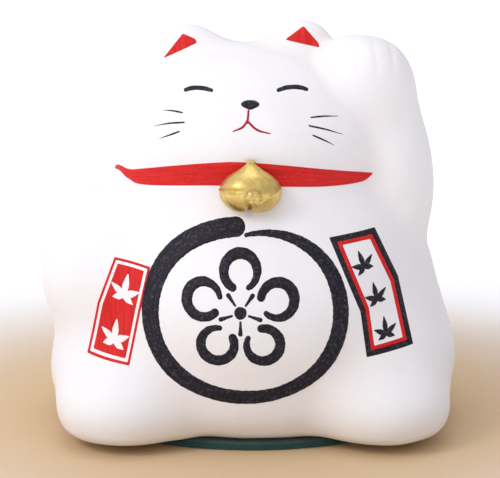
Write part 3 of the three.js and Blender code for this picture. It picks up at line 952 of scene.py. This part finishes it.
def blossom():
    """Open petals and stamens round a heart, each a brush stroke."""
    centre = np.array([BLOSSOM["x"], BLOSSOM["z"]])
    for i in range(BLOSSOM["petals"]):
        angle = 2 * math.pi * i / BLOSSOM["petals"]
        middle = centre + BLOSSOM["out"] * np.array([math.sin(angle), math.cos(angle)])
        start = -math.pi / 2 - angle + BLOSSOM["opening"]
        turns = np.linspace(start, start + 2 * math.pi - 2 * BLOSSOM["opening"], 90)
        path = around_point(middle, BLOSSOM["loop"], turns)
        film(f"belly_petal_{i + 1}", [stroke(path, PETAL_HALVES, 0.12)], BLACK,
             paths=[path], height=0.36)
        between = angle + math.pi / BLOSSOM["petals"]
        ray = np.array([math.sin(between), math.cos(between)])
        path = line(*(centre + out * ray for out in BLOSSOM["stamen"]))
        film(f"belly_stamen_{i + 1}", [stroke(path, STAMEN_HALVES, 0.05)], BLACK,
             pitch=0.5, paths=[path])
    turns = np.linspace(0, 2 * math.pi, HEART_POINTS, endpoint=False)
    radii = BLOSSOM["heart"] + ragged(HEART_POINTS, 0.12, [3, 5], closed=True)
    heart = around_point(centre, radii[:, None], turns)
    film("belly_blossom_heart", [heart], BLACK, pitch=0.6, height=0.36)


# ---------------------------------------------------------------- labels
LABEL_CORNER = 0.5  # radius of a label's corners
LEFT_LABEL = [(-53.2, 96), (-72.7, 99), (-82, 74.5), (-87.5, 48.5), (-64, 46), (-58.3, 73.3)]
LEFT_BORDER, LEFT_FIELD = 1.3, 2.8  # insets where the border ends and the field starts
LEFT_SPRAYS = [(-67.5, 84.5, 12, 12), (-72.8, 60.5, 12, 8)]  # x, z, size and turn
RIGHT_LABEL = [(40.2, 111.3), (56.3, 74), (59.6, 50.7), (85, 54.3), (77.8, 87.5), (65.2, 113.2)]
RIGHT_FRAME, RIGHT_INNER_FRAME = 2.8, 4.8  # insets where the black and the red frame end
RIGHT_SPRAYS = [(58.9, 98.5, 9.4, -22), (65.5, 82, 9.4, -14), (70.2, 64.5, 9.4, -8)]
LEAVES = [(-115, 0.5), (-60, 0.72), (0, 0.9), (60, 0.72), (115, 0.5)]  # turn, share of the size
LEAF_HALVES = np.array([0.08, 0.13, 0.15, 0.10, 0.03])  # shares of the spray's size


def spray(x, z, size, turn):
    """Five brush-stroke leaves joined at their foot."""
    foot = np.array([x, z - 0.35 * size])
    strokes = []
    for degrees, share in LEAVES:
        angle = math.radians(degrees + turn)
        tip = foot + size * share * np.array([math.sin(angle), math.cos(angle)])
        path = line(foot, tip, 0.4)
        strokes.append((path, stroke(path, size * LEAF_HALVES, 0.03)))
    return strokes


def labels():
    frame_film("left_label_border", LEFT_LABEL, 0, LEFT_BORDER, RED)
    leaves = [outline for place in LEFT_SPRAYS for _, outline in spray(*place)]
    film("left_label_field", [label_outline(LEFT_LABEL, LEFT_FIELD)], RED, holes=leaves, pitch=0.7)
    frame_film("right_label_frame", RIGHT_LABEL, 0, RIGHT_FRAME, BLACK)
    frame_film("right_label_inner_frame", RIGHT_LABEL, RIGHT_FRAME, RIGHT_INNER_FRAME, RED)
    for i, place in enumerate(RIGHT_SPRAYS):
        leaves = spray(*place)
        film(f"right_label_spray_{i + 1}", [outline for _, outline in leaves], BLACK,
             pitch=0.5, paths=[path for path, _ in leaves])


# ---------------------------------------------------------------- collar and bell
BAND = 0.7  # how far the collar stands off the neck
BAND_ROOT = 0.4  # how deep it sinks into the ceramic
# Across the collar from its lower edge to its upper one, closer together near the edges.
BAND_ROWS = np.array([-1, -0.97, -0.9, -0.75, -0.5, -0.25, 0, 0.25, 0.5, 0.75, 0.9, 0.97, 1])


def collar():
    """A band round the neck that runs out to a point on either side of the raised arm."""
    lean = math.radians(COLLAR["lean"])
    centre = np.array([COLLAR["x"], 0.0, COLLAR["z"]])
    ahead = np.array([0.0, math.cos(lean), math.sin(lean)])
    normal = np.array([0.0, -math.sin(lean), math.cos(lean)])
    turns = np.radians(np.linspace(-360, 0, 721)) - math.pi / 2
    directions = np.cos(turns)[:, None] * [1.0, 0.0, 0.0] + np.sin(turns)[:, None] * ahead
    middle = reach(centre, directions, 0.0, form_of)
    edges = np.array(COLLAR_EDGES, float)
    beyond = np.nonzero(middle[:, 0] > edges[-1, 0])[0]
    order = np.concatenate([np.arange(beyond[-1] + 1, len(turns)), np.arange(1, beyond[0])])
    low_edge = curve(edges[:, [0, 1]])
    high_edge = curve(edges[:, [0, 2]])
    low_side = np.interp(middle[order, 0], low_edge[:, 0], low_edge[:, 1])
    high_side = np.interp(middle[order, 0], high_edge[:, 0], high_edge[:, 1])
    swell = BAND * (1 - np.abs(BAND_ROWS) ** 6) ** 0.5
    half = (high_side - low_side) / 2
    top, bottom = [], []
    for share, height in zip(BAND_ROWS, swell):
        origin = centre + (low_side + (1 + share) * half)[:, None] * normal
        ground = reach(origin, directions[order], 0.0, form_of)
        outwards = normals_at(ground)
        top.append(ground + outwards * (height * np.minimum(half / 2, 1) + 0.03)[:, None])
        bottom.append(ground - outwards * BAND_ROOT)
    rows, count = len(BAND_ROWS), len(order)
    index = np.arange(2 * rows * count).reshape(2, rows, count)
    sections = np.vstack([index[0], index[1, ::-1]]).T.tolist()
    faces = []
    for before, after in zip(sections[:-1], sections[1:]):
        faces += bridge(before, after)
    for end in (sections[0], sections[-1]):
        faces += [(end[r], end[r + 1], end[-2 - r], end[-1 - r]) for r in range(rows - 1)]
    piece = build("collar_band", np.vstack(top + bottom), faces, RED, ["collar"], sharp=60)
    travelled = np.concatenate([[0], np.cumsum(length_of(np.diff(middle[order], axis=0)))])
    sideways = np.repeat(BAND_ROWS * half.max(), count)
    write_brush_uv(piece, np.tile(travelled, 2 * rows), np.tile(sideways, 2))


# The bell's outline: radius, and height over its lowest point.
BELL_PROFILE = [
    (0.0, 0.2), (4.2, 0.3), (9.3, 1.3), (12.6, 3.3), (15.4, 6.6), (16.3, 11.0), (14.8, 15.4),
    (11.0, 19.4), (6.3, 22.4), (3.0, 24.8), (2.4, 25.6), (2.7, 26.2), (2.2, 27.0), (0.0, 27.3),
]
# The bell's double line, its boss with a ring of lumps, and the cleft between its lobes.
LINES = {"heights": (11.9, 14.0), "width": 0.55, "rise": 0.55, "groove": 12.95, "end": -4.5}
BOSS = {"x": 1.6, "height": 9.0, "lumps": 6, "out_x": 2.7, "out_z": 2.5, "rise": 1.3, "rim": 4.4}
CLEFT = {"x": -1.1, "slant": 0.12, "width": 0.7, "mouth": 0.9, "depth": 1.5, "top": 6.2}


def bell():
    """An onion-shaped bell: a raised double line, a knotted boss, and a cleft between two lobes."""
    profile = smooth_profile(BELL_PROFILE, 9)
    profile[:, 0] = np.maximum(profile[:, 0], 0)
    points, faces = lathe([tuple(p) for p in profile], 160)
    x, y, height = points.T.copy()
    around = np.hypot(x, y)
    outwards = np.column_stack([x, y]) / np.maximum(around, 1e-6)[:, None]
    front = np.clip(-outwards[:, 1], 0, 1)

    lines = sum(hill(height - line_height, LINES["width"]) for line_height in LINES["heights"])
    at_left = fade(x - LINES["end"], 0.8)  # the double line fades before the boss
    raised = LINES["rise"] * lines * at_left
    sunk = 0.45 * hill(height - LINES["groove"], 0.5) * at_left
    slanted = height - 5.0 - 0.62 * (x - 3.0)  # a single line that climbs to the right
    raised += 0.5 * front * hill(slanted, 0.6) * fade(4.0 - x, 0.7)

    for turn in np.linspace(0, 2 * math.pi, BOSS["lumps"], endpoint=False):
        lump = np.hypot(x - BOSS["x"] - BOSS["out_x"] * math.cos(turn),
                        height - BOSS["height"] - BOSS["out_z"] * math.sin(turn))
        raised += BOSS["rise"] * front * hill(lump, 1.0)
    from_boss = np.hypot(x - BOSS["x"], height - BOSS["height"])
    raised += front * hill(from_boss, 0.9)

    width = CLEFT["width"] + CLEFT["mouth"] * np.exp(-height / 1.6)
    depth = CLEFT["depth"] * (1 + np.exp(-height / 2.0)) * fade(height - CLEFT["top"], 0.6)
    groove = hill(x - CLEFT["x"] - CLEFT["slant"] * height, width)
    groove = groove * np.clip(front * 1.5 + np.exp(-height), 0, 1)
    sunk += depth * groove

    # Painted shade for the gold, kept in the crease attribute: the grooves, the cleft and a ring round the
    # boss.
    around_boss = front * hill(from_boss - BOSS["rim"], 1.3)
    painted_hollow_shade = np.clip(sunk * 0.9 + 0.55 * around_boss * (1 - np.clip(raised, 0, 1)), 0, 1)
    move = (raised - sunk) * np.minimum(around / 4, 1)
    points[:, :2] += outwards * move[:, None]
    points[:, 2] += np.where(height < 4, depth * groove * 0.75, 0)
    points[:, 2] -= 0.5 * np.clip(x / 8, 0, 1) * np.exp(-height / 4)  # the right lobe hangs lower
    points[:, 1] *= BELL["depth"]
    points += [BELL["x"], BELL["y"], BELL["bottom"]]
    behind = front_points(points[:, [0, 2]])[:, 1] + 0.1
    points[:, 1] = np.minimum(points[:, 1], behind)
    piece = build("bell_cast", points, faces, GOLD, ["bell"], sharp=55)
    add_crease(piece, painted_hollow_shade)


# ---------------------------------------------------------------- base
FELT_COLUMNS = 288
FELT_INNER_SHARE = 0.004  # just outside the felt's hole
# The felt's outer edge from bottom to top: height, and how far it draws in.
FELT_LOWER_EDGE = [(0.1, 0.9), (0.3, 0.35), (0.8, 0.05)]
FELT_UPPER_EDGE = [(-0.8, 0.0), (-0.3, 0.3), (-0.05, 0.9)]  # heights from its top


def base_felt():
    """The felt pad: soft edges that waver a little, and a round hole for the stopper's flange."""
    angles = np.linspace(0, 2 * math.pi, FELT_COLUMNS, endpoint=False)
    around = np.column_stack([np.cos(angles), np.sin(angles)])
    waver = ragged(FELT_COLUMNS, 0.22, [7, 13, 29, 61], closed=True)
    height = FELT["height"]
    rings = []

    def ring(share, z, shrink=0.0):
        outer = around * (np.array([FELT["radius_x"], FELT["radius_y"]]) - shrink) + [0, FELT["y"]]
        outer = outer + around * waver[:, None] * share
        inner = around * FELT["hole_radius"] + [0, HOLE["y"]]
        xy = inner + (outer - inner) * share
        drift = ragged(FELT_COLUMNS, 0.10, [11, 23, 47], closed=True) if 0 < share < 1 else 0
        rings.append(np.column_stack([xy, np.full(FELT_COLUMNS, z) + drift]))

    steps = np.linspace(0, 1, 18)
    for share in steps[1:-1]:
        ring(share, 0.15)
    upper_edge = [(height + z, shrink) for z, shrink in FELT_UPPER_EDGE]
    for z, shrink in [*FELT_LOWER_EDGE, (height / 2, -0.15), *upper_edge]:
        ring(1.0, z, shrink)
    for share in steps[-2:0:-1]:
        ring(share, height - 0.12)
    for z in (height - 0.4, height / 2, 0.4):
        ring(FELT_INNER_SHARE, z)
    points = np.vstack(rings)
    points[:, 2] = np.clip(points[:, 2], 0, height)
    index = np.arange(len(points)).reshape(-1, FELT_COLUMNS).tolist()
    faces = []
    for first, second in zip(index, index[1:] + index[:1]):
        faces += bridge(first, second)
    build("felt_pad", points, faces, GREEN_FELT, ["base_felt"], sharp=80)


STOPPER = {
    "clearance": 0.4, "flange": 2.2, "recess": 1.3, "recess_radius": 11.5, "bar": 2.4,
    "ribs": 3, "rib_pitch": 2.2,
}
# The stopper's outline, from the middle of its underside: radius and height. Heights are over the
# flange's underside, over its top, over the floor and again over its top. PLUG_TOP's radii are
# measured from the plug's side.
FLANGE_UNDERSIDE = [
    *((r, STOPPER["recess"]) for r in (0, 2, 4, 6, 8, 10, 11.2)), (11.8, 1.0),
    (12.1, 0.3), (12.6, 0.05),
    *((r, 0) for r in (13.5, 15, 17, 19)), (19.6, 0.25), (20.2, 0.25), (20.8, 0), (23, 0),
    (25.8, 0), (26.6, 0.2), (27, 0.8),
]
FLANGE_TOP = [(27.0, -0.5), (26.7, -0.1), (26.0, 0)]
PLUG_TOP = [(-0.6, 11.6), (-1.6, 12.9), (-3.4, 13.0), (-4.0, 12.6), (-4.1, 6.0)]
PLUG_INSIDE = [(7.8, 1.0), (7.0, 1.6), (7.0, 3.4), (6.4, 4.0), (0.0, 4.0)]


def stopper():
    """The rubber bung: a ribbed plug, and a flange with a recess and a bar to pull it by."""
    plug = HOLE["radius"] - STOPPER["clearance"]
    top, bottom = FELT["height"], FELT["height"] - STOPPER["flange"]
    profile = [(r, bottom + z) for r, z in FLANGE_UNDERSIDE]
    profile += [(r, top + z) for r, z in FLANGE_TOP]
    profile += [(plug + 0.1, top), (plug - 0.3, top + 0.6)]
    for rib in range(STOPPER["ribs"]):
        z = top + 2.0 + rib * STOPPER["rib_pitch"]
        profile += [(plug - 0.35, z - 0.8), (plug, z), (plug - 0.35, z + 0.8)]
    profile += [(plug + r, z) for r, z in PLUG_TOP]
    profile += [(plug - 4.8, top + 1.1), *((r, top + z) for r, z in PLUG_INSIDE)]
    points, faces = lathe(profile, 128)
    x, y, z = points.T
    low = z < bottom + STOPPER["recess"] + 0.2
    bar = (np.abs(y) < STOPPER["bar"]) & low & (np.hypot(x, y) < STOPPER["recess_radius"])
    points[bar, 2] = bottom + 0.15
    points += [0, HOLE["y"], 0]
    build("rubber_stopper", points, faces, RUBBER, ["stopper"], body="stopper")


# ---------------------------------------------------------------- floor, camera and light
FLOOR = {"radius": 25.0, "warm": (0.12, 0.34), "glow": (0.2, 0.7)}  # metres from the figure
CAMERA = {"target": (-1.12, 0.0, 97.0), "distance": 1000.0, "elevation": 11.0, "lens": 128.2}
SKY = {"towards": (-0.6, -0.2, 0.77), "from": (-0.6, 0.9), "to": (0.38, 0.93)}
# Name, place and size in metres, watts and colour.
LIGHTS = [
    ("key", (-1.0, -0.8, 1.1), 0.6, 6.5, (1.0, 0.985, 0.96)),
    ("top", (0.0, 0.1, 1.3), 0.8, 2, (1.0, 1.0, 1.0)),
]


def floor():
    """A plain floor, warm near the figure and white further out, wide enough to have no edge."""
    radii = np.concatenate([[0.0], np.geomspace(0.3, FLOOR["radius"], 12)])
    points, faces = lathe([(r, 0.0) for r in radii] + [(0.0, -0.01)], 96)
    mesh = bpy.data.meshes.new("floor")
    mesh.from_pydata(points.tolist(), [], [tuple(f) for f in faces])
    ground = Finish("floor")
    place = ground.node("TexCoord", {}).outputs["Object"]
    distance = ground.node("VectorMath", {0: place}, operation="LENGTH").outputs["Value"]
    colour = ground.ramp(distance, *FLOOR["warm"], ((0.68, 0.50, 0.31), (0.94, 0.94, 0.94)))
    glow = ground.level(ground.ramp(distance, *FLOOR["glow"]), 0, 0.5)
    mesh.materials.append(ground.finished({
        "Base Color": colour, "Emission Color": (1, 1, 1), "Emission Strength": glow,
        "Roughness": 0.9, "Specular IOR Level": 0.1,
    }))
    piece = add_object("floor", mesh)


def area_light(name, place, size, watts, colour):
    light = bpy.data.lights.new(name, "AREA")
    light.shape = "DISK"
    light.size = size
    light.energy = watts
    light.color = colour
    lamp = add_object(name, light)
    lamp.location = place
    towards = Vector((0, 0, 0.1)) - Vector(place)
    lamp.rotation_euler = towards.to_track_quat("-Z", "Y").to_euler()


def camera():
    lens = bpy.data.cameras.new("camera")
    lens.lens = CAMERA["lens"]
    lens.sensor_width = 36.0
    lens.clip_start, lens.clip_end = 0.05, 2 * FLOOR["radius"]
    eye = add_object("camera", lens)
    up = math.radians(CAMERA["elevation"])
    back = np.array([0.0, -math.cos(up), math.sin(up)])
    eye.location = (np.array(CAMERA["target"]) + SHIFT + back * CAMERA["distance"]) * MM
    eye.rotation_euler = Vector(-back).to_track_quat("-Z", "Y").to_euler()
    bpy.context.scene.camera = eye


def studio():
    """A pale sky, brighter towards the upper left, and two soft lights."""
    world = bpy.data.worlds.new("studio")
    world.use_nodes = True
    nodes, links = world.node_tree.nodes, world.node_tree.links
    background = nodes["Background"]
    background.inputs["Color"].default_value = (0.95, 0.94, 1.0, 1)
    direction = nodes.new("ShaderNodeTexCoord")
    towards_light = nodes.new("ShaderNodeVectorMath")
    towards_light.operation = "DOT_PRODUCT"
    towards_light.inputs[1].default_value = SKY["towards"]
    links.new(direction.outputs["Generated"], towards_light.inputs[0])
    spread = nodes.new("ShaderNodeMapRange")
    for side, pair in (("From", SKY["from"]), ("To", SKY["to"])):
        spread.inputs[side + " Min"].default_value, spread.inputs[side + " Max"].default_value = pair
    links.new(towards_light.outputs["Value"], spread.inputs["Value"])
    links.new(spread.outputs["Result"], background.inputs["Strength"])
    bpy.context.scene.world = world
    for light in LIGHTS:
        area_light(*light)
    bpy.context.scene.view_settings.view_transform = "Standard"


body_halves()
face()
belly_ring()
blossom()
labels()
collar()
bell()
base_felt()
stopper()
floor()
camera()
studio()
